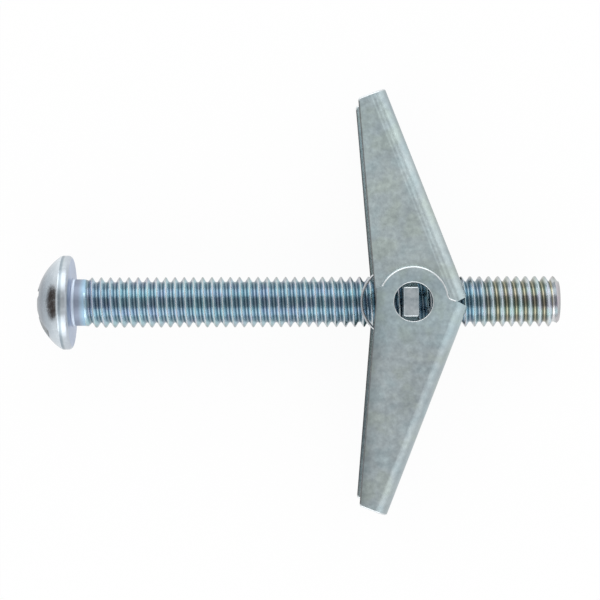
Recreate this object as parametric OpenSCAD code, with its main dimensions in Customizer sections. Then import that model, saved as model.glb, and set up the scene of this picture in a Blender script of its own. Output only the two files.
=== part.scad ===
// Spring toggle bolt: a round head machine screw with a pair of sprung folding wings on a trunnion nut.
// Origin at the centre of the bearing face under the head, +X along the screw to its tip, +Y across one open wing, +Z up as it lies flat. Millimetres.

/* [Screw] */
// Length under the head
screw_length = 76.2; // [50:0.1:150]
// Major diameter of the thread
thread_d = 7.94; // [4:0.01:13]
// How far the plain neck lies below the crests of the thread
neck_step = 0.32; // [0.1:0.02:1]
// Length of the plain neck
neck_length = 2.0; // [0.5:0.1:10]
// Chamfer at the tip
tip_chamfer = 0.8; // [0.2:0.1:1.5]

/* [Head] */
// Diameter of the head
head_d = 14.74; // [10:0.01:24]
// Height of the head, to where the dome's top would be without the recess
head_h = 5.6; // [3:0.1:9]
// Height of the straight side of the head
head_side = 1.6; // [0.8:0.1:4]
// Rounding between the side of the head and its bearing face
rim_r = 0.6; // [0.2:0.1:1.2]
// Width of the straight slot
slot_w = 1.9; // [1:0.1:3]
// Depth of the straight slot from the top of the dome
slot_depth = 2.3; // [1:0.1:3.5]
// Width of the cross arms
cross_w = 1.5; // [0.8:0.1:2.5]
// Span of the cross at the top of the dome
cross_span = 7.6; // [4:0.1:11]
// Depth of the cross recess from the top of the dome
cross_depth = 3.9; // [2:0.1:4.5]
// Radius of the funnel at the middle of the recess, at the top of the dome
funnel_r = 2.4; // [1.3:0.1:3]
// Turn of the slot about the screw
recess_turn = 33; // [0:1:90]

/* [Wings] */
// Thickness of the sheet
sheet = 0.9; // [0.6:0.1:1.6]
// Distance from the pivot to the outside of the web
web_out = 8.15; // [7:0.05:14]
// Distance from the pivot to the tip, along the web
wing_reach = 32.2; // [20:0.1:60]
// Lean of the web toward the head when open
web_lean = 21.4; // [10:0.1:30]
// Lean of the open edge toward the head when open
edge_lean = 4.7; // [0:0.1:15]
// Width of metal round the hole in each ear
ear_wall = 2.52; // [1.2:0.02:5]
// How far the open edge stands out past the round of the ear
edge_step = 0.26; // [0:0.02:1]
// How far the open edge runs on past the pivot
shoulder = 1.7; // [0:0.1:3]
// Outside radius of the bend between web and flange
bend_r = 2.2; // [1.2:0.1:3.5]
// Rounding of the flange corner at the tip
tip_r = 0.4; // [0.2:0.1:1.5]
// Slope of the wing's inner end, from the ear out to the web
heel_slope = 27; // [15:1:40]
// Rounding of the web's inner end
heel_r = 0.6; // [0.3:0.1:1.5]
// Relief between the ear and the web's inner end
relief_r = 0.8; // [0.3:0.1:1.5]

/* [Trunnion nut] */
// Distance from the bearing face to the pivot
pivot_x = 53.1; // [40:0.1:140]
// Thickness of the nut
nut_t = 2.4; // [1.5:0.1:5]
// Width of metal round the thread
nut_wall = 1.18; // [0.8:0.02:4]
// Width of each lug
lug_w = 4.6; // [2:0.1:5.6]
// Rounding of the lug's edges
lug_r = 0.35; // [0.1:0.05:1]
// How far the lugs sit toward the head in the ear holes
lug_back = 0.35; // [0:0.05:0.5]
// Chamfer at both ends of the thread
nut_chamfer = 0.5; // [0.1:0.1:1]

/* [Spring] */
// Wire diameter
wire_d = 0.42; // [0.2:0.02:0.8]
// Mean radius of the coil
coil_r = 5.4; // [3:0.1:9]
// How far the coil's centre sits toward the head from the pivot
coil_back = 2.5; // [0:0.1:4]
// Number of turns
turns = 2; // [1:1:3]
// Foot of each leg, laid along the web
foot_length = 2.5; // [1:0.1:6]

/* [Clearances] */
// Between the thread and the bore of the nut, on the radius
thread_clearance = 0.05; // [0.02:0.01:0.3]
// Between two ears that lie on each other
ear_gap = 0.05; // [0.02:0.01:0.3]
// Between the nut's round body and the inner ears
nut_side_gap = 0.3; // [0.1:0.05:1]
// Between a lug's corners and the hole of the ear
lug_clearance = 0.2; // [0.1:0.05:0.6]
// Between the end of a lug and the face of the outer ear
lug_inset = 0.05; // [0:0.05:0.5]
// Between the screw and the notch in the web, all round
notch_clearance = 0.45; // [0.2:0.05:1.5]
// Between the spring and the screw, and between the spring and the inner ear
spring_clearance = 0.1; // [0.05:0.05:0.5]
// Between turns of the spring
turn_gap = 0.03; // [0.01:0.01:0.2]
// Between the spring and the web it bears on
leg_gap = 0.03; // [0.01:0.01:0.2]

/* [Hidden] */
$fn = 96;

thread_r = thread_d / 2;
neck_r = thread_r - neck_step;
dome_h = head_h - head_side;
dome_r = (head_d * head_d / 4 + dome_h * dome_h) / (2 * dome_h);
bore_r = thread_r + thread_clearance;
nut_r = bore_r + nut_wall;

// across the ears, from the screw outward: spring or nut, inner ear, outer ear
rise = wire_d + turn_gap;
coil_depth = wire_d + turns * rise;
inner_z = max(nut_r + nut_side_gap, thread_r + coil_depth + 2 * spring_clearance);
outer_z = inner_z + 2 * sheet + ear_gap;
ear_shift = (sheet + ear_gap) / 2;          // each channel sits this far off the middle plane
wing_depth = 2 * (outer_z - ear_shift);     // flange to flange
hole_r = norm([nut_t / 2 + lug_back, lug_w / 2]) + lug_clearance;
ear_r = hole_r + ear_wall;
edge_out = ear_r + edge_step;               // from the pivot to the open edge

// the wing's own plane: pivot at the origin, web on the +X side, tip toward +Y
along = [-sin(web_lean), cos(web_lean)];
across = [cos(web_lean), sin(web_lean)];
taper = web_lean - edge_lean;
edge_at_tip = (wing_reach * sin(taper) - edge_out) / cos(taper);
edge_normal = -[cos(edge_lean), sin(edge_lean)];
trim = 0.1;                                 // the outline runs this far past the web, which cuts it
heel_way = [cos(heel_slope), sin(heel_slope)];
heel_in = [-sin(heel_slope), cos(heel_slope)];
relief_at = (ear_r + relief_r - 0.05) * [cos(-11), sin(-11)];
relief_top = relief_at + 0.95 * relief_r * heel_in;
heel_run = (web_out + trim - heel_r - (relief_top + heel_r * heel_in) * across) / (heel_way * across);
heel_at = relief_top + heel_run * heel_way + heel_r * heel_in;
tip_centre = (wing_reach - tip_r) * along + (edge_at_tip + tip_r * tan(45 - taper / 2)) * across;
notch_r = thread_r + notch_clearance;
notch_y = 1.2;

// spring: up the screw side of the nut, its ends inside the two webs
spring_z = (thread_r + inner_z) / 2;
leg_x = coil_r - coil_back;
web_bears = web_out - sheet - leg_gap - wire_d / 2;
leg_y = (web_bears - leg_x * cos(web_lean)) / sin(web_lean);
foot = foot_length * along;
steps = 28;

module head_profile() {
    // radius along x, distance below the bearing face along y
    intersection() {
        union() {
            square([head_d / 2 - rim_r, head_h]);
            translate([0, rim_r]) square([head_d / 2, head_h]);
            translate([head_d / 2 - rim_r, rim_r]) circle(rim_r);
        }
        translate([0, head_h - dome_r]) circle(dome_r, $fn = 180);
        square([head_d, head_h]);
    }
}

module recess() {
    // the dome's top is at z = 0 and the screw lies below it
    depth = slot_depth + 1;
    rotate([0, 0, 90]) translate([-head_d, -slot_w / 2, -slot_depth]) cube([2 * head_d, slot_w, depth]);
    intersection() {
        translate([0, 0, -cross_depth]) cylinder(h = cross_depth + 1, r1 = cross_w * 0.6,
            r2 = cross_w * 0.6 + (cross_span / 2 - cross_w * 0.6) * (cross_depth + 1) / cross_depth);
        union() {
            translate([-head_d, -cross_w / 2, -cross_depth]) cube([2 * head_d, cross_w, cross_depth + 2]);
            translate([-cross_w / 2, -head_d, -cross_depth]) cube([cross_w, 2 * head_d, cross_depth + 2]);
        }
    }
    translate([0, 0, -cross_depth + 0.4]) cylinder(h = cross_depth, r1 = 0.8, r2 = 0.8 + (funnel_r - 0.8) * cross_depth / (cross_depth - 0.4));
}

module screw() {
    color([0.72, 0.74, 0.77]) difference() {
        union() {
            rotate([0, -90, 0]) rotate_extrude() head_profile();
            rotate([0, 90, 0]) {
                translate([0, 0, -0.5]) cylinder(h = neck_length + 0.6, r = neck_r);
                translate([0, 0, neck_length]) cylinder(h = neck_step, r1 = neck_r, r2 = thread_r);
                translate([0, 0, neck_length + neck_step])
                    cylinder(h = screw_length - tip_chamfer - neck_length - neck_step, r = thread_r);
                translate([0, 0, screw_length - tip_chamfer])
                    cylinder(h = tip_chamfer, d1 = thread_d, d2 = thread_d - 2 * tip_chamfer);
            }
        }
        translate([-head_h, 0, 0]) rotate([-recess_turn, 0, 0]) rotate([0, -90, 0]) recess();
    }
}

module nut() {
    color([0.62, 0.64, 0.66]) translate([pivot_x - lug_back, 0, 0]) difference() {
        union() {
            rotate([0, 90, 0]) cylinder(h = nut_t, r = nut_r, center = true);
            linear_extrude(height = 2 * (outer_z - lug_inset), center = true) lug_section();
        }
        rotate([0, 90, 0]) {
            cylinder(h = nut_t + 1, r = bore_r, center = true);
            for (s = [0, 1]) mirror([0, 0, s]) translate([0, 0, nut_t / 2 - nut_chamfer])
                cylinder(h = nut_chamfer + 0.01, r1 = bore_r, r2 = bore_r + nut_chamfer);
        }
    }
}

module lug_section() {
    x = nut_t / 2 - lug_r;
    y = lug_w / 2 - lug_r;
    square([nut_t, 2 * y], center = true);
    square([2 * x, lug_w], center = true);
    for (sx = [-1, 1], sy = [-1, 1]) translate([sx * x, sy * y]) circle(lug_r, $fn = 32);
}

module wing_outline() {
    shoulder_at = edge_out * edge_normal + shoulder / cos(edge_lean) * [sin(edge_lean), -cos(edge_lean)];
    difference() {
        union() {
            circle(ear_r);
            polygon([
                shoulder_at,
                [0, shoulder_at.y],
                [0, 0],
                relief_at,
                relief_top,
                heel_at - heel_r * heel_in,
                heel_at + heel_r * across,
                wing_reach * along + (web_out + trim) * across,
                tip_centre + tip_r * along,
                tip_centre + tip_r * edge_normal
            ]);
            translate(heel_at) circle(heel_r + 0.01, $fn = 48);
            translate(tip_centre) circle(tip_r + 0.01, $fn = 48);
        }
        translate(relief_at) circle(relief_r, $fn = 48);
    }
}

module channel_section(out, half, r) {
    // filled channel: web toward +x, flanges at +y and -y
    back = 2 * web_out + wing_reach;
    translate([-back, -half]) square([back + out - r, 2 * half]);
    translate([-back, r - half]) square([back + out, 2 * (half - r)]);
    for (s = [-1, 1]) translate([out - r, s * (half - r)]) circle(r);
}

module channel() {
    rotate([0, 0, web_lean]) rotate([90, 0, 0])
        linear_extrude(height = 2 * (wing_reach + 2 * web_out), center = true) difference() {
            channel_section(web_out, wing_depth / 2, bend_r);
            channel_section(web_out - sheet, wing_depth / 2 - sheet, bend_r - sheet);
        }
}

module web_notch() {
    // clears the screw, which stays on the middle plane of the bolt
    translate([0, 0, ear_shift]) {
        translate([0, -notch_r, -notch_r]) cube([2 * web_out, notch_r + notch_y, 2 * notch_r]);
        translate([0, notch_y, 0]) rotate([0, 90, 0]) cylinder(h = 2 * web_out, r = notch_r);
    }
}

module wing() {
    // one folded sheet, in its own plane; both wings are this piece
    difference() {
        intersection() {
            linear_extrude(height = wing_depth + 2, center = true) wing_outline();
            difference() {
                channel();
                web_notch();
            }
        }
        cylinder(h = wing_depth + 2, r = hole_r, center = true);
    }
}

module wing_upper() {
    color([0.66, 0.69, 0.70]) translate([pivot_x, 0, -ear_shift]) wing();
}

module wing_lower() {
    color([0.60, 0.63, 0.64]) translate([pivot_x, 0, 0]) rotate([180, 0, 0]) translate([0, 0, -ear_shift]) wing();
}

function coil_point(i) = let(a = -360 * i / steps)
    [coil_r * cos(a) - coil_back, coil_r * sin(a), spring_z + rise * (i / steps - turns / 2)];
function mirrored(p) = [p.x, -p.y, 2 * spring_z - p.z];

module spring() {
    low_z = spring_z - rise * turns / 2;
    upper_leg = [
        [leg_x, leg_y, low_z] + [foot.x, foot.y, 0],
        [leg_x, leg_y, low_z] + 0.12 * [foot.x, foot.y, 0],
        [leg_x, leg_y, low_z] - [0, 0.3, 0],
        [leg_x, leg_y / 2, low_z],
        [leg_x, 0.6, low_z]
    ];
    path = concat(upper_leg,
        [for (i = [0 : steps * turns]) coil_point(i)],
        [for (i = [4 : -1 : 0]) mirrored(upper_leg[i])]);
    color([0.8, 0.81, 0.82]) translate([pivot_x, 0, 0]) wire(path, wire_d / 2, 8);
}

function unit(v) = v / norm(v);
function tangent(path, i) = unit(path[min(i + 1, len(path) - 1)] - path[max(i - 1, 0)]);

module wire(path, r, sides) {
    // the rings stand square to the path, with one edge up
    n = len(path);
    points = [for (i = [0 : n - 1]) let(t = tangent(path, i), side = unit(cross(t, [0, 0, 1])), up = cross(side, t))
        for (k = [0 : sides - 1]) path[i] + r * (cos(360 * (k + 0.5) / sides) * side + sin(360 * (k + 0.5) / sides) * up)];
    faces = concat(
        [[for (k = [0 : sides - 1]) k]],
        [for (i = [0 : n - 2]) for (k = [0 : sides - 1]) let(m = (k + 1) % sides)
            each [[i * sides + m, i * sides + k, (i + 1) * sides + k], [i * sides + m, (i + 1) * sides + k, (i + 1) * sides + m]]],
        [[for (k = [sides - 1 : -1 : 0]) (n - 1) * sides + k]]);
    polyhedron(points = points, faces = faces, convexity = 8);
}

screw();
nut();
wing_upper();
wing_lower();
spring();
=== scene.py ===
import math

import bmesh
import bpy
from mathutils import Matrix, Vector


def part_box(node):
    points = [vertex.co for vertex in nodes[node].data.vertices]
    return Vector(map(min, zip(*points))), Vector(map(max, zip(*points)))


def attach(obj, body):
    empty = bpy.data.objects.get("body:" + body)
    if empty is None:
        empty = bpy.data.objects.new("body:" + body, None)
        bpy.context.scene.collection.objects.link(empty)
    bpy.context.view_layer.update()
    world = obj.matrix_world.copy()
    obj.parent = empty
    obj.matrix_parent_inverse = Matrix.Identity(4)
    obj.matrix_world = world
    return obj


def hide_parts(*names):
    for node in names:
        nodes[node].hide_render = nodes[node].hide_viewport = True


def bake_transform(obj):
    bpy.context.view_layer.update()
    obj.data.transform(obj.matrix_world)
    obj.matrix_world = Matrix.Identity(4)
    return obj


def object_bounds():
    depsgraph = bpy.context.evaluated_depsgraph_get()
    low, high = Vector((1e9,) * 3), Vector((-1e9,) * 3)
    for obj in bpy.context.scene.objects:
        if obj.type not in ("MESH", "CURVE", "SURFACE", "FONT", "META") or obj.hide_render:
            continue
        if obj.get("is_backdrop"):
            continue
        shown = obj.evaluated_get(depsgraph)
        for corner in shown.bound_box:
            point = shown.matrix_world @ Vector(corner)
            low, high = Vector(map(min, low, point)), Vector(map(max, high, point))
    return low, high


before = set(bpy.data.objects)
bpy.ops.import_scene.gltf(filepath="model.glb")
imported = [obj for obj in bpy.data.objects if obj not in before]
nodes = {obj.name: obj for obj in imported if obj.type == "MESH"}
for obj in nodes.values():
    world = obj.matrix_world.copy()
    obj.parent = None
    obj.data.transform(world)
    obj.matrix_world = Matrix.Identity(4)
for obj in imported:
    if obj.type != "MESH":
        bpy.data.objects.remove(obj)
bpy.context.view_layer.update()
mm = 0.001
print("frame loaded:", ", ".join(sorted(nodes)))

pivotX = 53.1  # where the wings' pivot crosses the X axis, in mm
webLean = 21.4  # degrees by which a wing's web leans from the Y axis
openEdgeLean = 4.7  # the same for a flange's open edge
acrossWing = 90  # a band with this lean changes along Y only
weldGap = 2e-6  # metres, as the next two
planeGap = 1e-6
sameGap = 1e-7


def makeObject(name, bm, body, materials, smoothAngle=32):
    mesh = bpy.data.meshes.new(name)
    bm.to_mesh(mesh)
    bm.free()
    for material in materials:
        mesh.materials.append(material)
    mesh.polygons.foreach_set("use_smooth", [True] * len(mesh.polygons))
    mesh.set_sharp_from_angle(angle=math.radians(smoothAngle))
    obj = bpy.data.objects.new(name, mesh)
    bpy.context.scene.collection.objects.link(obj)
    if body:
        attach(obj, body)
    return obj


def copyOfNode(name, flatWithin=0.4):
    bm = bmesh.new()
    bm.from_mesh(nodes[name].data)
    bmesh.ops.remove_doubles(bm, verts=bm.verts, dist=weldGap)
    bmesh.ops.dissolve_limit(bm, angle_limit=math.radians(flatWithin), verts=bm.verts,
                             edges=bm.edges)
    return bm


def softenEdges(bm, width, segments, minAngle=35, keep=lambda edge: True, clamp=True):
    sharp = [e for e in bm.edges if len(e.link_faces) == 2
             and e.calc_face_angle(0) > math.radians(minAngle) and keep(e)]
    return bmesh.ops.bevel(bm, geom=sharp, offset=mm * width, offset_type="OFFSET",
                           affect="EDGES", segments=segments, profile=0.5, material=-1,
                           clamp_overlap=clamp)["faces"]


def everything(bm):
    return bm.verts[:] + bm.edges[:] + bm.faces[:]


def cutAway(bm, x, side):
    # removes what lies beyond x, toward +X for side 1 and toward -X for side -1
    bmesh.ops.bisect_plane(bm, geom=everything(bm), dist=sameGap, plane_co=(mm * x, 0, 0),
                           plane_no=(side, 0, 0), clear_outer=True)


def isAt(vert, x):
    return abs(vert.co.x - mm * x) < planeGap


def makeMaterial(name):
    material = bpy.data.materials.new(name)
    material.use_nodes = True
    return material


def addNode(tree, kind, **values):
    node = tree.nodes.new(kind)
    for key, value in values.items():
        setattr(node, key, value)
    return node


def feed(tree, socket, value):
    # an output is linked, and a colour or a number is set
    if isinstance(value, bpy.types.NodeSocket):
        tree.links.new(value, socket)
    elif isinstance(value, tuple):
        socket.default_value = (*value, 1)
    else:
        socket.default_value = value


def calculated(tree, operation, *values, **settings):
    node = addNode(tree, "ShaderNodeMath", operation=operation, **settings)
    for socket, value in zip(node.inputs, values):
        feed(tree, socket, value)
    return node.outputs[0]


def mixed(tree, factor, a, b, blend="MIX", data="RGBA"):
    node = addNode(tree, "ShaderNodeMix", data_type=data, blend_type=blend)
    for key, value in (("Factor", factor), ("A", a), ("B", b)):
        feed(tree, node.inputs[key], value)
    return node.outputs["Result"]


def multiplied(tree, a, b):
    return mixed(tree, 1, a, b, "MULTIPLY")


def ranged(tree, value, span, to=(0, 1), kind="LINEAR"):
    node = addNode(tree, "ShaderNodeMapRange", interpolation_type=kind)
    for key, number in zip(("From Min", "From Max", "To Min", "To Max"), (*span, *to)):
        node.inputs[key].default_value = number
    feed(tree, node.inputs["Value"], value)
    return node.outputs["Result"]


def inMetres(span):
    return [mm * x for x in span]


def colorRamp(tree, factor, stops):
    ramp = addNode(tree, "ShaderNodeValToRGB")
    elements = ramp.color_ramp.elements
    for place, _ in stops[2:]:
        elements.new(place)
    for element, (place, _) in zip(elements, stops):
        element.position = place
    for element, (_, color) in zip(elements, stops):
        element.color = (*color, 1)
    feed(tree, ramp.inputs["Fac"], factor)
    return ramp.outputs["Color"]


def levels(tint, *stops):
    # ramp stops that are one tint at several strengths
    return [(place, tuple(level * part for part in tint)) for place, level in stops]


def noise(tree, place, scale, detail, roughness=0.5):
    node = addNode(tree, "ShaderNodeTexNoise")
    for key, value in (("Vector", place), ("Scale", scale), ("Detail", detail),
                       ("Roughness", roughness)):
        feed(tree, node.inputs[key], value)
    return node.outputs["Fac"]


def bandColor(tree, parts, lean, span, stops):
    # a ramp across lines that lean alike on both sides of the X axis
    away = calculated(tree, "ABSOLUTE", parts["Y"])
    away = calculated(tree, "MULTIPLY", away, math.sin(math.radians(lean)))
    across = calculated(tree, "MULTIPLY_ADD", parts["X"], math.cos(math.radians(lean)), away)
    return colorRamp(tree, ranged(tree, across, inMetres(span)), stops)


def threadWearAndPaintedLight(tree, parts, thread):
    # rubbed crests, painted highlights on crests and flanks, and painted shade in the roots along
    # the helix, browner toward the tip and even at its end
    turn = calculated(tree, "ARCTAN2", parts["Y"], parts["Z"])
    turn = calculated(tree, "MULTIPLY_ADD", turn, 0.5 / math.pi,
                      0.25 - thread["crestAt"] / thread["pitch"])
    turn = calculated(tree, "MULTIPLY_ADD", parts["X"], 1 / (mm * thread["pitch"]), turn)
    inPitch = calculated(tree, "FRACT", turn)
    far = ranged(tree, parts["X"], inMetres(thread["farFrom"]), kind="SMOOTHSTEP")
    worn = ranged(tree, parts["X"], inMetres(thread["wornFrom"]), kind="SMOOTHSTEP")
    color = mixed(tree, far, colorRamp(tree, inPitch, thread["nearStops"]),
                  colorRamp(tree, inPitch, thread["farStops"]))
    return mixed(tree, worn, color, thread["worn"])


plating = {"cloudDetail": 4, "grainDetail": 6, "grainRoughness": 0.65, "toneFrom": 0.35,
           "toneTo": 0.65, "filmDetail": 3, "filmSpans": ((0.48, 0.66), (0.5, 0.34)),
           "roughSpan": (0.3, 0.7), "bumpDepth": 0.05}


def platedSteel(name, look):
    material = makeMaterial(name)
    tree = material.node_tree
    shader = tree.nodes["Principled BSDF"]
    shader.inputs["Metallic"].default_value = 1.0
    place = addNode(tree, "ShaderNodeTexCoord").outputs["Object"]
    split = addNode(tree, "ShaderNodeSeparateXYZ")
    feed(tree, split.inputs[0], place)
    parts = split.outputs

    # broad mottling of the plating, and its fine grain
    cloud = noise(tree, place, look["cloudScale"], plating["cloudDetail"])
    grain = noise(tree, place, look["grainScale"], plating["grainDetail"],
                  plating["grainRoughness"])
    color = colorRamp(tree, mixed(tree, 0.5, cloud, grain, data="FLOAT"),
                      [(plating["toneFrom"], look["dark"]), (plating["toneTo"], look["light"])])
    if "tints" in look:  # faint colours of the plating's film
        film = noise(tree, place, look["filmScale"], plating["filmDetail"])
        for span, tint in zip(plating["filmSpans"], look["tints"]):
            some = ranged(tree, film, span, kind="SMOOTHSTEP")
            color = mixed(tree, some, color, tint, "MULTIPLY")
    if "thread" in look:
        color = multiplied(tree, color, threadWearAndPaintedLight(tree, parts, look["thread"]))
    # bands of painted highlight and shade, and a tint toward the upper wing's tip
    for lean, span, stops in look.get("bands", []):
        color = multiplied(tree, color, bandColor(tree, parts, lean, span, stops))
    if "rings" in look:  # painted highlights, reflections and shade in rings round the screw's axis
        along = ranged(tree, parts["X"], inMetres(look["ringsFrom"]))
        color = multiplied(tree, color, colorRamp(tree, along, look["rings"]))
    feed(tree, shader.inputs["Base Color"], color)
    feed(tree, shader.inputs["Roughness"],
         ranged(tree, grain, plating["roughSpan"], look["rough"]))

    bump = addNode(tree, "ShaderNodeBump")
    bump.inputs["Strength"].default_value = look["bump"]
    bump.inputs["Distance"].default_value = plating["bumpDepth"] * mm
    feed(tree, bump.inputs["Height"], grain)
    feed(tree, shader.inputs["Normal"], bump.outputs["Normal"])
    return material


# in mm from the bearing face under the head; a soft edge has a width and its segments
screw = {"crestRadius": 3.97, "threadDepth": 0.8, "pitch": 1.447, "crestAt": 3.06,
         "crestFlat": 0.17, "flankAngle": 30, "rootSag": (0.55, 0.012), "rootSoft": (0.05, 0.1),
         "crestSag": (0.7, 0.025), "crestSoft": (0.07, 0.12), "stepsPerTurn": 72,
         "neckRadius": 3.65, "neckEnd": 1.9, "neckShade": 2.2, "runOut": 1.4, "tipChamfer": 0.8,
         "headTo": 0.3, "shankFrom": 0.6, "neckFillet": (0.4, 5), "recessSoft": (0.09, 2),
         "domeSoft": (0.3, 5), "domeCentre": 3.19, "domeRadius": 8.79, "recessInDome": 0.12,
         "recessInRim": 0.4, "rimWidth": 0.05, "domeTo": -1.45, "frontTo": -1, "seatTo": 0.02}
# the head's rings paint its highlights and dark reflections, on the dome and round the rim
headLook = {"dark": (0.55, 0.61, 0.66), "light": (0.74, 0.81, 0.86), "rough": (0.16, 0.30),
            "bump": 0.4, "cloudScale": 260, "grainScale": 1300, "ringsFrom": (-5.6, 0.4),
            "rings": [(0.0, (0.38, 0.39, 0.41)), (0.22, (0.42, 0.43, 0.45)),
                      (0.38, (0.66, 0.68, 0.70)), (0.52, (0.82, 0.83, 0.84)),
                      (0.655, (1, 1, 1)), (0.685, (1, 1, 1)), (0.70, (0.50, 0.54, 0.57)),
                      (0.745, (0.52, 0.56, 0.58)), (0.78, (0.84, 0.84, 0.84)),
                      (0.925, (0.78, 0.78, 0.81)), (0.935, (0.54, 0.60, 0.76)),
                      (1.0, (0.54, 0.60, 0.76))]}
# the neck's rings paint a highlight on the fillet and shade along the neck
neckLook = {"dark": (0.68, 0.76, 0.86), "light": (0.84, 0.92, 1.0), "rough": (0.50, 0.64),
            "bump": 0.2, "cloudScale": 300, "grainScale": 1300, "ringsFrom": (0, 2),
            "rings": [(0.0, (0.40, 0.42, 0.50)), (0.1, (0.70, 0.72, 0.78)), (0.15, (1, 1, 1)),
                      (0.22, (1, 1, 1)), (0.3, (0.46, 0.47, 0.52)), (0.6, (0.45, 0.46, 0.51)),
                      (0.8, (0.50, 0.58, 0.64)), (1.0, (0.52, 0.68, 0.76))]}
# the recess is painted dark as shade
recessShadeLook = {"dark": (0.20, 0.21, 0.22), "light": (0.34, 0.36, 0.37), "rough": (0.3, 0.45),
              "bump": 0.3, "cloudScale": 400, "grainScale": 1500}
threadLook = {"pitch": screw["pitch"], "crestAt": screw["crestAt"], "farFrom": (62.5, 66.5),
              "wornFrom": (74.92, 75.12), "worn": (0.74, 0.73, 0.74),
              "nearStops": [(0.0, (0.27, 0.34, 0.39)), (0.05, (0.26, 0.33, 0.38)),
                            (0.10, (0.18, 0.24, 0.29)), (0.24, (0.20, 0.28, 0.35)),
                            (0.31, (0.50, 0.57, 0.62)), (0.38, (0.76, 0.81, 0.83)),
                            (0.50, (0.68, 0.72, 0.74)), (0.58, (0.50, 0.68, 0.75)),
                            (0.75, (0.42, 0.61, 0.69)), (0.86, (0.22, 0.35, 0.42)),
                            (0.95, (0.22, 0.32, 0.38)), (1.0, (0.27, 0.34, 0.39))],
              "farStops": [(0.0, (0.42, 0.40, 0.30)), (0.05, (0.36, 0.34, 0.24)),
                           (0.12, (0.22, 0.22, 0.16)), (0.24, (0.28, 0.30, 0.26)),
                           (0.32, (0.64, 0.68, 0.64)), (0.40, (0.80, 0.85, 0.84)),
                           (0.52, (0.70, 0.78, 0.84)), (0.68, (0.56, 0.67, 0.72)),
                           (0.82, (0.32, 0.37, 0.37)), (0.93, (0.24, 0.23, 0.15)),
                           (1.0, (0.42, 0.40, 0.30))]}
screwLook = {"dark": (0.82, 0.84, 0.86), "light": (1.0, 1.0, 1.0), "rough": (0.20, 0.34),
             "bump": 0.2, "cloudScale": 220, "grainScale": 1500, "filmScale": 420,
             "tints": ((0.92, 1.0, 0.98), (1.0, 0.93, 1.0)), "thread": threadLook,
             # painted shade toward both sides of the thread, and at the tip's chamfer
             "bands": [(acrossWing, (2.7, screw["crestRadius"]),
                        [(0.0, (1, 1, 1)), (0.4, (0.92, 0.92, 0.92)), (1.0, (0.52, 0.49, 0.46))])],
             "ringsFrom": (75.2, 75.9), "rings": [(0.0, (1, 1, 1)), (1.0, (0.66, 0.65, 0.65))]}
recessShadeFinish = platedSteel("recessShadeZinc", recessShadeLook)
neckFinish = platedSteel("neckZinc", neckLook)
headFinish = platedSteel("headZinc", headLook)
sideFinish = platedSteel("headSideZinc", {**headLook, "rough": (0.30, 0.42)})
screwFinish = platedSteel("screwZinc", screwLook)
print("screw's finishes made")


def threadProfile():
    # one pitch, from the middle of one root to the next: place along the screw, radius
    top, half = screw["crestRadius"], screw["pitch"] / 2
    bottom = top - screw["threadDepth"]
    run = screw["threadDepth"] * math.tan(math.radians(screw["flankAngle"]))
    crest = screw["crestFlat"] / 2
    root = half - run - crest
    rootSag, rootSoft = screw["rootSag"], screw["rootSoft"]
    crestSag, crestSoft = screw["crestSag"], screw["crestSoft"]
    side = [(0, bottom), (root * rootSag[0], bottom + rootSag[1]),
            (root + rootSoft[0], bottom + rootSoft[1]),
            (half - crest - crestSoft[0], top - crestSoft[1]),
            (half - crest * crestSag[0], top - crestSag[1]), (half, top)]
    return side + [(2 * half - x, r) for x, r in reversed(side[:-1])]


def threadedShank(start, end):
    bm = bmesh.new()
    pitch, steps = screw["pitch"], screw["stepsPerTurn"]
    # a crest crosses the +Y side at crestAt, and the row that is spun stands at +Z
    turnsBefore = math.ceil((screw["crestAt"] - start) / pitch + 1)
    first = screw["crestAt"] - 0.25 * pitch - pitch * turnsBefore
    row = [bm.verts.new((mm * (first + x), 0, mm * r)) for x, r in threadProfile()]
    edges = [bm.edges.new(pair) for pair in zip(row, row[1:])]
    bmesh.ops.spin(bm, geom=row + edges, cent=(0, 0, 0), axis=(1, 0, 0),
                   dvec=(mm * pitch / steps, 0, 0), angle=2 * math.pi, steps=steps,
                   use_merge=False, use_duplicate=False)
    turns = 1
    while first + turns * pitch < end + 1.5 * pitch:  # the turns double until they pass the tip
        more = bmesh.ops.duplicate(bm, geom=everything(bm))["geom"]
        bmesh.ops.translate(bm, verts=[g for g in more if isinstance(g, bmesh.types.BMVert)],
                            vec=(mm * turns * pitch, 0, 0))
        turns *= 2
    cutAway(bm, start, -1)
    cutAway(bm, end, 1)
    bmesh.ops.remove_doubles(bm, verts=bm.verts, dist=weldGap)
    for v in bm.verts:  # the thread runs out into the neck, and the tip is chamfered
        x = v.co.x / mm
        r = math.hypot(v.co.y, v.co.z) / mm
        t = min(1, max(0, (x - screw["neckEnd"]) / screw["runOut"]))
        wanted = screw["neckRadius"] + (r - screw["neckRadius"]) * t * t * (3 - 2 * t)
        wanted = min(wanted, screw["crestRadius"] - screw["tipChamfer"] + end - x)
        v.co.y *= wanted / r
        v.co.z *= wanted / r
    return bm


def openLoop(bm, x):
    return [e for e in bm.edges if e.is_boundary and all(isAt(v, x) for v in e.verts)]


def softenHead(bm, rim):
    front = screw["frontTo"] * mm
    rimFrom = rim - screw["rimWidth"] * mm
    softenEdges(bm, *screw["domeSoft"], minAngle=20, keep=lambda e: all(
        math.hypot(v.co.y, v.co.z) > rimFrom and v.co.x < front for v in e.verts))
    softenEdges(bm, *screw["recessSoft"], minAngle=30, keep=lambda e: e.verts[0].co.x < front)
    softenEdges(bm, *screw["neckFillet"], minAngle=60,
                keep=lambda e: all(isAt(v, 0) for v in e.verts))


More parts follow.
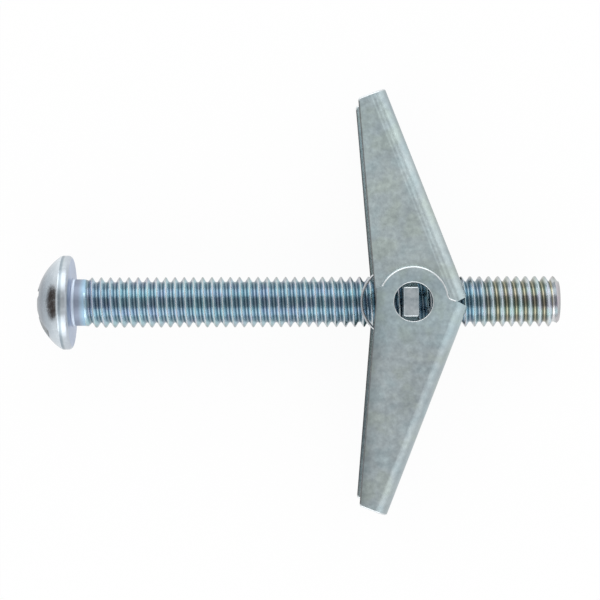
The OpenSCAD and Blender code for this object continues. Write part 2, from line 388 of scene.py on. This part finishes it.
def screwFinishAt(middle, rim):
    x = middle.x / mm
    fromCentre = (middle - Vector((screw["domeCentre"] * mm, 0, 0))).length
    inDome = fromCentre < (screw["domeRadius"] - screw["recessInDome"]) * mm
    if x < screw["frontTo"] and inDome and middle.yz.length < rim - screw["recessInRim"] * mm:
        return recessShadeFinish
    if x < screw["domeTo"]:
        return headFinish
    if x < screw["seatTo"]:
        return sideFinish
    return neckFinish if x < screw["neckShade"] else screwFinish


def makeScrew():
    _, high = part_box("screw")
    length, rim = high.x / mm, high.y
    bm = copyOfNode("screw")
    cutAway(bm, screw["headTo"], 1)
    softenHead(bm, rim)
    shank = threadedShank(screw["shankFrom"], length)
    mesh = bpy.data.meshes.new("shankPart")
    shank.to_mesh(mesh)
    shank.free()
    bm.from_mesh(mesh)
    bpy.data.meshes.remove(mesh)
    bmesh.ops.bridge_loops(bm, edges=openLoop(bm, screw["headTo"])
                           + openLoop(bm, screw["shankFrom"]))
    bmesh.ops.holes_fill(bm, edges=openLoop(bm, length), sides=0)
    bmesh.ops.recalc_face_normals(bm, faces=bm.faces)
    finishes = [screwFinish, headFinish, neckFinish, recessShadeFinish, sideFinish]
    for f in bm.faces:
        f.material_index = finishes.index(screwFinishAt(f.calc_center_median(), rim))
    obj = makeObject("toggleScrew", bm, "screw", finishes, smoothAngle=28)
    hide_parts("screw")


makeScrew()
print("screw made")


wings = {"edgeSoft": 0.13, "segments": 3, "rubbed": (4.6, 6.5), "arcFrom": 47.85,
         "rubbedSoft": 0.28, "hole": (2.4, 3.4), "holeSoft": 0.14, "tipFrom": 29.5,
         "tipSoft": 0.24, "shearedTo": 48.0, "shearedFacing": -0.9}
nut = {"edgeSoft": 0.12, "segments": 2, "lugSoft": 0.22, "lugSegments": 4, "lugFrom": 5.5,
       "flankFacing": 0.3}
# the bands of a wing, mostly painted highlights and shade: lean in degrees, span in mm and stops
upperBands = [
    # the flange, a little darker up to its bend, then the bend with painted highlights and shade
    (webLean, (50.5, 54.6), levels((1, 1, 1), (0.0, 1), (1.0, 0.95))),
    (webLean, (54.66, 57.56), levels(
        (1.01, 1.03, 1.05),
        (0.0, 0.755), (0.06, 0.76), (0.10, 0.81), (0.135, 0.92), (0.158, 0.98), (0.185, 0.88),
        (0.232, 0.82), (0.262, 0.81), (0.30, 0.92), (0.343, 0.99), (0.39, 0.92), (0.417, 0.82),
        (0.46, 0.74), (0.50, 0.74), (0.535, 0.82), (0.575, 0.91), (0.62, 0.92), (0.68, 0.88),
        (0.75, 0.81), (0.80, 0.72), (0.85, 0.64), (0.90, 0.57), (0.96, 0.50))),
    # painted shade along the open edge
    (openEdgeLean, (47.1, 49.1), [(0.0, (0.42, 0.39, 0.39)), (0.09, (0.48, 0.45, 0.45)),
                                  (0.14, (0.96, 0.97, 0.98)), (1.0, (1, 1, 1))]),
    # toward the tip
    (acrossWing, (20, 26), [(0.0, (1, 1, 0.985)), (1.0, (0.98, 1, 1))])]
lowerBands = [
    # the bend, with painted highlights and shade, darker than the upper wing's
    (webLean, (54.66, 57.56), levels(
        (0.98, 0.985, 1.0),
        (0.0, 0.77), (0.25, 0.765), (0.31, 0.74), (0.345, 0.78), (0.38, 0.84), (0.42, 0.87),
        (0.49, 0.875), (0.53, 0.855), (0.60, 0.805), (0.64, 0.76), (0.68, 0.71), (0.72, 0.66),
        (0.76, 0.61), (0.80, 0.59), (0.86, 0.585), (0.98, 0.585))),
    # painted shade along the open edge, wider than the upper wing's
    (openEdgeLean, (47.1, 50.1), [(0.0, (0.42, 0.39, 0.39)), (0.06, (0.48, 0.45, 0.45)),
                                  (0.09, (0.70, 0.71, 0.71)), (0.45, (0.88, 0.88, 0.88)),
                                  (0.75, (1, 1, 1)), (1.0, (1, 1, 1))]),
    # from the ear to the flange: a bluish tint on the ear, and painted shade over the flange
    (acrossWing, (3.5, 8), [(0.0, (0.92, 0.98, 1.0)), (1.0, (0.95, 0.95, 0.95))])]
wingLook = {"dark": (0.62, 0.71, 0.74), "light": (0.87, 0.985, 1.0), "rough": (0.28, 0.42),
            "bump": 0.45, "cloudScale": 140, "grainScale": 1100, "filmScale": 260,
            "tints": ((1.0, 1.0, 0.94), (0.95, 0.99, 1.0))}
# burnished edges, partly a painted highlight
edgeLook = {"dark": (0.56, 0.60, 0.62), "light": (0.80, 0.84, 0.86), "rough": (0.30, 0.42),
            "bump": 0.3, "cloudScale": 400, "grainScale": 1500}
# sheared edges, dull and painted dark as shade
edgeShadeLook = {"dark": (0.07, 0.065, 0.065), "light": (0.16, 0.15, 0.15), "rough": (0.45, 0.6),
            "bump": 0.3, "cloudScale": 500, "grainScale": 1500}
nutLook = {"dark": (0.45, 0.52, 0.56), "light": (0.66, 0.72, 0.75), "rough": (0.24, 0.40),
           "bump": 0.5, "cloudScale": 500, "grainScale": 1400}
upperFinish = platedSteel("upperWingZinc", {**wingLook, "bands": upperBands})
lowerFinish = platedSteel("lowerWingZinc", {**wingLook, "bands": lowerBands})
edgeHighlightFinish = platedSteel("edgeHighlightZinc", edgeLook)
edgeShadeFinish = platedSteel("edgeShadeZinc", edgeShadeLook)
nutFinish = platedSteel("nutZinc", nutLook)
plain, burnishedHighlight, shearedShade = 0, 1, 2  # places of the finishes in a wing or nut
print("wings' and nut's finishes made")


def fromPivot(point):
    return math.hypot(point.x / mm - pivotX, point.y / mm)


def isRubbedEar(point):
    low, high = wings["rubbed"]
    return point.x / mm > wings["arcFrom"] and low < fromPivot(point) < high


def isHole(point):
    low, high = wings["hole"]
    return low < fromPivot(point) < high


def isTip(point):
    return abs(point.y / mm) > wings["tipFrom"]


def softenWing(bm):
    for f in bm.faces:  # the sheared open edges face the head, dull and painted dark as shade
        isSheared = (f.normal.x < wings["shearedFacing"]
                     and f.calc_center_median().x < wings["shearedTo"] * mm)
        f.material_index = shearedShade if isSheared else plain
    # the ear's arc, the hole's rim and the tips get the burnished finish, partly a painted
    # highlight
    for part, width, clamp in ((isRubbedEar, wings["rubbedSoft"], False),
                               (isHole, wings["holeSoft"], False),
                               (isTip, wings["tipSoft"], True)):
        for f in softenEdges(bm, width, wings["segments"] + 1, clamp=clamp,
                             keep=lambda e: all(part(v.co) for v in e.verts)):
            f.material_index = burnishedHighlight
    softenEdges(bm, wings["edgeSoft"], wings["segments"])


def softenNut(bm):
    lugFrom = nut["lugFrom"] * mm
    for f in softenEdges(bm, nut["lugSoft"], nut["lugSegments"],
                         keep=lambda e: all(abs(v.co.z) > lugFrom for v in e.verts)):
        # the rounded lug ends facing +Y or -Y carry the burnished finish as a painted highlight
        f.material_index = burnishedHighlight if abs(f.normal.y) > nut["flankFacing"] else plain
    softenEdges(bm, nut["edgeSoft"], nut["segments"])


def makeFromNode(name, node, finish, soften):
    bm = copyOfNode(node)
    soften(bm)
    obj = makeObject(name, bm, node, [finish, edgeHighlightFinish, edgeShadeFinish])
    flats = obj.modifiers.new("flats", "WEIGHTED_NORMAL")
    flats.keep_sharp = True
    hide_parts(node)


makeFromNode("upperWing", "wing_upper", upperFinish, softenWing)
makeFromNode("lowerWing", "wing_lower", lowerFinish, softenWing)
makeFromNode("trunnionNut", "nut", nutFinish, softenNut)
print("wings and nut made")


spring = {"wire": 0.42, "roundness": 3, "coilRadius": 5.4, "coilX": 50.6, "height": 4.735,
          "rise": 0.45, "legX": 2.9, "legY": 11.8, "foot": 2.5, "footSteps": (1, 0.4, 0.1),
          "legSteps": (0.35, 1.5, 5, 8.5), "bendFrom": 5.6, "stepsPerTurn": 48}
springLook = {"dark": (0.46, 0.48, 0.50), "light": (0.66, 0.69, 0.72), "rough": (0.12, 0.22),
              "bump": 0.15, "cloudScale": 300, "grainScale": 1800}
springFinish = platedSteel("springWire", springLook)


def wireLine(low):
    # the middle of the wire from the foot of the leg round the coil, in mm from the pivot
    lean = math.radians(webLean)
    foot = Vector((-math.sin(lean), math.cos(lean), 0)) * spring["foot"]
    corner = Vector((spring["legX"], spring["legY"], low))
    points = [corner + foot * step for step in spring["footSteps"]]
    points += [corner - Vector((0, step, 0)) for step in spring["legSteps"]]
    for i in range(spring["stepsPerTurn"] + 1):
        turn = i / spring["stepsPerTurn"]
        angle = -2 * math.pi * turn
        points.append(Vector((
            spring["coilRadius"] * math.cos(angle) + spring["coilX"] - pivotX,
            spring["coilRadius"] * math.sin(angle), low + spring["rise"] * turn)))
    return points


def springHalf(name, side):
    # one turn of the coil and its leg, side 1 toward +Y and -1 toward -Y
    low = -spring["rise"]
    points = wireLine(low)
    curve = bpy.data.curves.new(name, "CURVE")
    curve.dimensions = "3D"
    curve.bevel_depth = spring["wire"] / 2 * mm
    curve.bevel_resolution = spring["roundness"]
    curve.use_fill_caps = True
    line = curve.splines.new("POLY")
    line.points.add(len(points) - 1)
    for p, q in zip(line.points, points):
        p.co = (mm * (q.x + pivotX), mm * side * q.y, mm * (spring["height"] + side * q.z), 1)
    holder = bpy.data.objects.new(name + "Line", curve)
    bpy.context.scene.collection.objects.link(holder)
    bpy.context.view_layer.update()
    shown = holder.evaluated_get(bpy.context.evaluated_depsgraph_get())
    bm = bmesh.new()
    bm.from_mesh(shown.to_mesh())
    shown.to_mesh_clear()
    bpy.data.objects.remove(holder)
    bmesh.ops.remove_doubles(bm, verts=bm.verts, dist=sameGap)
    bmesh.ops.recalc_face_normals(bm, faces=bm.faces)
    obj = makeObject(name, bm, None, [springFinish], smoothAngle=60)
    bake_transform(obj)
    return obj


upperHalf = springHalf("springUpperHalf", 1)
springHalf("springLowerHalf", -1)
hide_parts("spring")
print("spring made")


studio = {"centreX": 36, "floorColor": (0.92, 0.92, 0.92), "floorSize": 3, "floorGap": 0.02,
          "floorWhite": 0.94, "skyStrength": 1.2,
          "sky": [(0.0, 0.72), (0.3, 0.72), (0.6, 0.62), (0.85, 0.52), (0.95, 0.42)],
          "sideWatts": 2.5, "sideSize": (1.0, 0.6), "sideAngle": 57.5, "sideDistance": 0.7,
          "cardX": -58, "cardHalf": 26, "cardTop": 34, "cardColor": (0.05, 0.03, 0.022),
          "cardRough": 0.9}


def makeFloor():
    low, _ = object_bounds()
    bm = bmesh.new()
    bmesh.ops.create_grid(bm, x_segments=1, y_segments=1, size=studio["floorSize"])
    bmesh.ops.translate(bm, verts=bm.verts,
                        vec=(studio["centreX"] * mm, 0, low.z - studio["floorGap"] * mm))
    material = makeMaterial("paleFloor")
    tree = material.node_tree
    tree.nodes.remove(tree.nodes["Principled BSDF"])
    matte = addNode(tree, "ShaderNodeBsdfDiffuse")
    feed(tree, matte.inputs["Color"], studio["floorColor"])
    glow = addNode(tree, "ShaderNodeEmission")
    # where it is seen or mirrored, the floor is mostly an even white
    path = addNode(tree, "ShaderNodeLightPath").outputs
    seen = calculated(tree, "ADD", path["Is Camera Ray"], path["Is Glossy Ray"], use_clamp=True)
    seen = calculated(tree, "ADD", seen, path["Is Transmission Ray"], use_clamp=True)
    white = calculated(tree, "MULTIPLY", seen, studio["floorWhite"])
    surface = addNode(tree, "ShaderNodeMixShader")
    for socket, value in zip(surface.inputs, (white, matte.outputs[0], glow.outputs[0])):
        feed(tree, socket, value)
    feed(tree, tree.nodes["Material Output"].inputs["Surface"], surface.outputs[0])
    floor = makeObject("floor", bm, None, [material])
    floor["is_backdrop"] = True


def makeCard():
    # a low dark card standing left of the head, for the head's dark reflection
    low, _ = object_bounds()
    tall = studio["cardTop"] * mm - low.z
    bm = bmesh.new()
    bmesh.ops.create_grid(bm, x_segments=1, y_segments=1, size=1)
    bmesh.ops.scale(bm, verts=bm.verts, vec=(tall / 2, studio["cardHalf"] * mm, 1))
    bmesh.ops.rotate(bm, verts=bm.verts, cent=(0, 0, 0),
                     matrix=Matrix.Rotation(math.radians(90), 3, "Y"))
    bmesh.ops.translate(bm, verts=bm.verts, vec=(studio["cardX"] * mm, 0, low.z + tall / 2))
    material = makeMaterial("darkCard")
    shader = material.node_tree.nodes["Principled BSDF"]
    shader.inputs["Base Color"].default_value = (*studio["cardColor"], 1)
    shader.inputs["Roughness"].default_value = studio["cardRough"]
    card = makeObject("card", bm, None, [material])
    card.visible_camera = False
    card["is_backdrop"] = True


def makeWorld():
    world = bpy.data.worlds.new("softStudio")
    bpy.context.scene.world = world
    world.use_nodes = True
    tree = world.node_tree
    background = tree.nodes["Background"]
    place = addNode(tree, "ShaderNodeTexCoord").outputs["Generated"]
    parts = addNode(tree, "ShaderNodeSeparateXYZ")
    feed(tree, parts.inputs[0], place)
    sky = colorRamp(tree, parts.outputs["Z"], levels((1, 1, 1), *studio["sky"]))
    feed(tree, background.inputs["Color"], sky)
    background.inputs["Strength"].default_value = studio["skyStrength"]


def softbox(name, direction):
    light = bpy.data.lights.new(name, "AREA")
    light.shape = "RECTANGLE"
    light.size, light.size_y = studio["sideSize"]
    light.energy = studio["sideWatts"]
    obj = bpy.data.objects.new(name, light)
    bpy.context.scene.collection.objects.link(obj)
    way = Vector(direction).normalized()
    obj.location = Vector((studio["centreX"] * mm, 0, 0)) + way * studio["sideDistance"]
    obj.rotation_euler = way.to_track_quat("Z", "Y").to_euler()


makeFloor()
makeCard()
makeWorld()
tilt = math.radians(studio["sideAngle"])
softbox("frontSoftbox", (0, -math.sin(tilt), math.cos(tilt)))
softbox("backSoftbox", (0, math.sin(tilt), math.cos(tilt)))
print("floor and light made")

view = {"x": 35.7, "y": 0.31, "height": 297, "lens": 113.46, "sensor": 36, "roll": -0.16,
        "near": 0.01, "far": 20}
camera = bpy.data.objects.new("camera", bpy.data.cameras.new("camera"))
camera.data.lens = view["lens"]
camera.data.sensor_width = view["sensor"]
camera.data.clip_start, camera.data.clip_end = view["near"], view["far"]
camera.location = (view["x"] * mm, view["y"] * mm, view["height"] * mm)
camera.rotation_euler = (0, 0, math.radians(view["roll"]))
bpy.context.scene.collection.objects.link(camera)
bpy.context.scene.camera = camera
bpy.context.scene.view_settings.view_transform = "Standard"
print("camera made")
